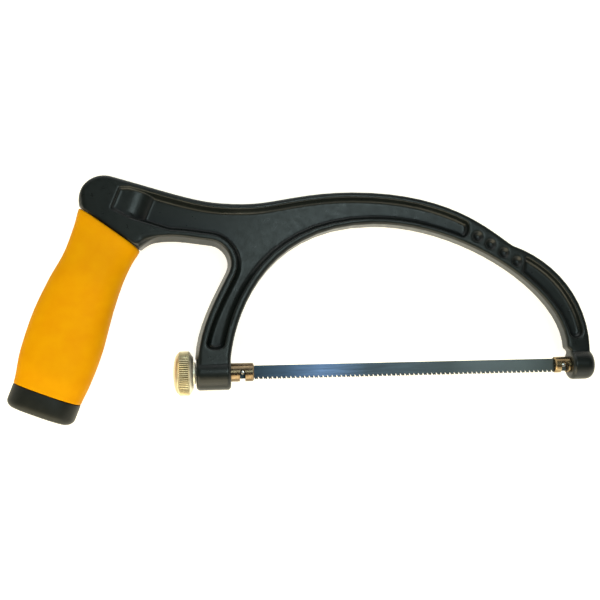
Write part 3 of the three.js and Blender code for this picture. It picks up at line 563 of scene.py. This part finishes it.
def knob_metal(face):
    """Which metal a face has: a darker copy painted as shade in the grooves of the knurl, and a paler copy
    painted as light on the cone and the hub.
    """
    place = (face.center - REAR_PIN) / MM
    if place.x > KNOB_FRONT:
        return HUB_LIGHT_METAL
    on_band = KNOB_REAR + KNOB_CHAMFER < place.x < KNOB_FRONT - KNOB_CHAMFER
    in_groove = math.cos(KNURL_COUNT * math.atan2(place.z, place.y)) < 0
    return GROOVE_SHADE_METAL if on_band and in_groove else KNOB_METAL


def add_knob():
    piece = add_object("knurled_knob", lofted("knurled_knob", knob_rings()))
    nickel = metal_finish("knob_nickel", dark=(0.56, 0.48, 0.29), pale=(0.66, 0.58, 0.36), roughness=0.34)
    # Painted shade: a darker nickel for the grooves of the knurl, where shade falls
    grooves = metal_finish("knurl_painted_shade", dark=(0.14, 0.1, 0.05), pale=(0.2, 0.15, 0.08), roughness=0.5)
    # Painted light: a paler copy of the nickel that lights the cone and the hub
    hub = metal_finish("hub_painted_light", dark=(0.84, 0.78, 0.62), pale=(0.92, 0.88, 0.74), roughness=0.5)
    dress(piece, "knob", nickel, "tension_knob")
    piece.data.materials.append(grooves)
    piece.data.materials.append(hub)
    for face in piece.data.polygons:
        face.material_index = knob_metal(face)


# Blade, pins and holders

# A place along the blade, the depth of the gullet there, and the lean of the tooth ahead of it, if any
Station = namedtuple("Station", "x depth lean")


def blade_stations():
    """Stations from the rear end to the front end, three for each pair of teeth."""
    pair = 2 * INCH / TEETH_PER_INCH
    count = int((PIN_SPAN - 2 * TOOTH_MARGIN) / pair)
    start = (PIN_SPAN - count * pair) / 2
    stations = [Station(-BLADE_TAIL, SHALLOW_GULLET, None)]
    stations.append(Station(start - GULLET_FLAT, SHALLOW_GULLET, None))
    for i in range(count):
        x = start + i * pair
        stations.append(Station(x, DEEP_GULLET, TOOTH_SET))
        stations.append(Station(x + (pair - GULLET_FLAT) / 2, SHALLOW_GULLET, -TOOTH_SET))
        stations.append(Station(x + pair - GULLET_FLAT, DEEP_GULLET, None))
    stations.append(Station(start + count * pair, SHALLOW_GULLET, None))
    stations.append(Station(PIN_SPAN + BLADE_TAIL, SHALLOW_GULLET, None))
    return stations


def strip_points(stations):
    """Four points at each station: back and root on the near side, then root and back on the far side."""
    half = BLADE_THICKNESS / 2
    points = []
    for station in stations:
        root = station.depth - BLADE_EDGE
        for y, z in ((BLADE_BACK, half), (root, half), (root, -half), (BLADE_BACK, -half)):
            points.append(at(station.x, y, z))
    return points


def tooth_points(here, there):
    """The four corners of a tooth's tip, which leans out to one side."""
    half = BLADE_THICKNESS / 2
    width = there.x - here.x
    front = there.x - width * TOOTH_HOOK
    points = []
    for x in (front - width * TOOTH_TIP, front):
        points += [at(x, -BLADE_EDGE, here.lean + half), at(x, -BLADE_EDGE, here.lean - half)]
    return points


def tooth_faces(a, b, tip):
    """The faces of a tooth between the points of two stations and those of its tip."""
    return [
        (a + 1, tip, tip + 2, b + 1),
        (a + 2, b + 2, tip + 3, tip + 1),
        (a + 1, a + 2, tip + 1, tip),
        (tip, tip + 1, tip + 3, tip + 2),
        (b + 1, tip + 2, tip + 3, b + 2),
    ]


def add_blade():
    """A strip whose teeth lean out to alternate sides, with a deeper gullet after every pair."""
    stations = blade_stations()
    points = strip_points(stations)
    end = 4 * (len(stations) - 1)
    faces = [(0, 3, 2, 1), (end, end + 1, end + 2, end + 3)]
    for i in range(len(stations) - 1):
        a, b = 4 * i, 4 * i + 4
        faces += [(a, a + 1, b + 1, b), (a + 3, b + 3, b + 2, a + 2), (a, b, b + 3, a + 3)]
        if stations[i].lean is None:
            faces.append((a + 1, a + 2, b + 2, b + 1))
        else:
            faces += tooth_faces(a, b, len(points))
            points += tooth_points(stations[i], stations[i + 1])
    mesh = mesh_from("toothed_blade", points, faces)
    mesh.shade_flat()
    piece = add_object("toothed_blade", mesh)
    dress(piece, "blade", blade_finish(), "saw_blade")


def add_pin(name, x, material):
    half = PIN_LENGTH / 2
    steps = small_rounding(PIN_ROUNDING)
    levels = [(drop - half, PIN_RADIUS - inset) for inset, drop in reversed(steps)]
    levels += [(half - drop, PIN_RADIUS - inset) for inset, drop in steps]
    rings = []
    for z, radius in levels:
        rings.append([at(x + radius * math.cos(t), radius * math.sin(t), z) for t in turns(PIN_POINTS)])
    piece = add_object(f"{name}_turned", lofted(name, rings))
    dress(piece, "blade", material, name)


def bevelled_copy(name, node_name, width):
    """A cleaned copy of a machined node with a small bevel on its edges."""
    mesh = nodes[node_name].data.copy()
    build = bmesh.new()
    build.from_mesh(mesh)
    bmesh.ops.remove_doubles(build, verts=build.verts, dist=NODE_MERGE_DISTANCE * MM)
    bmesh.ops.dissolve_limit(build, angle_limit=NODE_FLAT_ANGLE, verts=build.verts, edges=build.edges)
    build.to_mesh(mesh)
    build.free()
    smooth_by_angle(mesh)
    piece = add_object(name, mesh)
    bevel = piece.modifiers.new("edges", "BEVEL")
    bevel.width = width * MM
    bevel.segments = BEVEL_SEGMENTS
    bevel.limit_method = "ANGLE"
    bevel.angle_limit = SHARP_ANGLE
    return piece


def add_holders():
    # Painted shade: the rear holder gets a darker copy of the front holder's plated nickel
    shaded_nickel = metal_finish("nickel_painted_shade", dark=(0.13, 0.09, 0.05), pale=(0.22, 0.165, 0.1), roughness=0.24)
    rear = bevelled_copy("rear_holder", "draw_bar", HOLDER_BEVEL)
    dress(rear, "holder", shaded_nickel, "draw_bar")
    nickel = metal_finish("holder_nickel", dark=(0.24, 0.16, 0.08), pale=(0.36, 0.28, 0.15), roughness=0.24)
    front = bevelled_copy("front_holder", "front_blade_peg", HOLDER_BEVEL)
    dress(front, "frame", nickel, "front_blade_peg")


def add_small_steel():
    steel = metal_finish("bright_steel", dark=(0.5, 0.48, 0.45), pale=(0.62, 0.6, 0.56), roughness=0.28)
    add_pin("rear_blade_pin", 0, steel)
    add_pin("front_blade_pin", PIN_SPAN, steel)
    zinc = metal_finish("zinc_plate", dark=(0.45, 0.46, 0.48), pale=(0.55, 0.56, 0.57), roughness=0.3)
    screw = bevelled_copy("butt_fastener", "butt_screw", SCREW_BEVEL)
    dress(screw, "frame", zinc, "butt_screw")
    plated = metal_finish("plated_stud", dark=(0.5, 0.48, 0.44), pale=(0.6, 0.58, 0.54), roughness=0.3)
    cover(nodes["tension_stud"], plated)


# Stage


def seen_rays(tree):
    """1 for rays of the camera, of reflections and through glass, and 0 for other light."""
    rays = tree.nodes.new("ShaderNodeLightPath")
    seen = rays.outputs["Is Camera Ray"]
    for ray in ("Is Glossy Ray", "Is Transmission Ray"):
        either = tree.nodes.new("ShaderNodeMath")
        either.operation = "MAXIMUM"
        tree.links.new(seen, either.inputs[0])
        tree.links.new(rays.outputs[ray], either.inputs[1])
        seen = either.outputs["Value"]
    return seen


def glow_by_distance(tree):
    """Fainter near the object, where its shadow falls, and white further out."""
    place = tree.nodes.new("ShaderNodeTexCoord")
    distance = tree.nodes.new("ShaderNodeVectorMath")
    distance.operation = "LENGTH"
    glow = tree.nodes.new("ShaderNodeMapRange")
    glow.inputs["From Min"].default_value = GLOW_START
    glow.inputs["From Max"].default_value = GLOW_END
    glow.inputs["To Min"].default_value = GLOW_NEAR
    tree.links.new(place.outputs["Object"], distance.inputs[0])
    tree.links.new(distance.outputs["Value"], glow.inputs["Value"])
    return glow.outputs["Result"]


def floor_material():
    """A pale floor whose glow lifts it to white where it is seen. The object's shadow stays on it."""
    material = bpy.data.materials.new("pale_floor")
    material.use_nodes = True
    tree = material.node_tree
    shader = tree.nodes["Principled BSDF"]
    shader.inputs["Base Color"].default_value = FLOOR_COLOR
    shader.inputs["Roughness"].default_value = FLOOR_ROUGHNESS
    shader.inputs["Specular IOR Level"].default_value = 0
    strength = tree.nodes.new("ShaderNodeMath")
    strength.operation = "MULTIPLY"
    tree.links.new(seen_rays(tree), strength.inputs[0])
    tree.links.new(glow_by_distance(tree), strength.inputs[1])
    white = tree.nodes.new("ShaderNodeEmission")
    tree.links.new(strength.outputs["Value"], white.inputs["Strength"])
    both = tree.nodes.new("ShaderNodeAddShader")
    tree.links.new(shader.outputs[0], both.inputs[0])
    tree.links.new(white.outputs[0], both.inputs[1])
    tree.links.new(both.outputs[0], tree.nodes["Material Output"].inputs["Surface"])
    return material


def add_floor():
    """A floor that curves up into a low wall all round."""
    levels = [(0.0, FLOOR_RADIUS)]
    for degrees in WALL_ANGLES:
        angle = math.radians(degrees)
        levels.append((WALL_HEIGHT * (1 - math.cos(angle)), FLOOR_RADIUS + WALL_HEIGHT * math.sin(angle)))
    points = []
    for height, radius in levels:
        points += [(radius * math.cos(t), radius * math.sin(t), height) for t in turns(FLOOR_POINTS)]
    faces = bands(FLOOR_POINTS, len(levels))
    faces.append(tuple(range(FLOOR_POINTS)))
    mesh = mesh_from("floor", points, faces)
    mesh.materials.append(floor_material())
    floor = add_object("floor", mesh)
    floor.location.z = -FLOOR_GAP


def add_world():
    world = bpy.data.worlds.new("studio")
    bpy.context.scene.world = world
    world.use_nodes = True
    ceiling = world.node_tree.nodes["Background"]
    ceiling.inputs["Color"].default_value = CEILING_COLOR
    ceiling.inputs["Strength"].default_value = CEILING_LIGHT


def add_light(name, place, size, watts, color):
    """A square lamp that faces the middle of the saw."""
    light = bpy.data.lights.new(name, "AREA")
    light.size = size
    light.energy = watts
    light.color = color
    lamp = add_object(name, light)
    lamp.location = place
    lamp.rotation_euler = (-Vector(place)).to_track_quat("-Z", "Y").to_euler()


def add_lights():
    add_light("soft_top", place=(0.15, 0.1, 0.9), size=0.3, watts=1.75, color=(0.8, 1, 1))
    add_light("warm_front", place=(-0.45, -0.92, 0.45), size=1.3, watts=19, color=(1, 0.88, 0.6))
    add_light("cool_back", place=(-0.2, 0.9, 0.55), size=1, watts=4, color=(0.93, 0.98, 1))
    add_light("warm_right", place=(0.5, -0.85, 0.38), size=1, watts=3.4, color=(1, 0.95, 0.8))


def add_camera():
    data = bpy.data.cameras.new("camera")
    data.lens = CAMERA_LENS
    data.sensor_width = CAMERA_SENSOR
    data.clip_start = CAMERA_NEAREST * MM
    camera = add_object("camera", data)
    axes = Matrix((CAMERA_RIGHT, CAMERA_UP, CAMERA_BACK)).transposed()
    camera.matrix_world = Matrix.Translation(at(*CAMERA_PLACE)) @ axes.to_4x4()
    bpy.context.scene.camera = camera


add_camera()
add_world()
add_lights()
add_floor()
add_casting()
add_grip()
add_cap()
add_knob()
add_holders()
add_blade()
add_small_steel()
bpy.context.scene.view_settings.view_transform = "Standard"
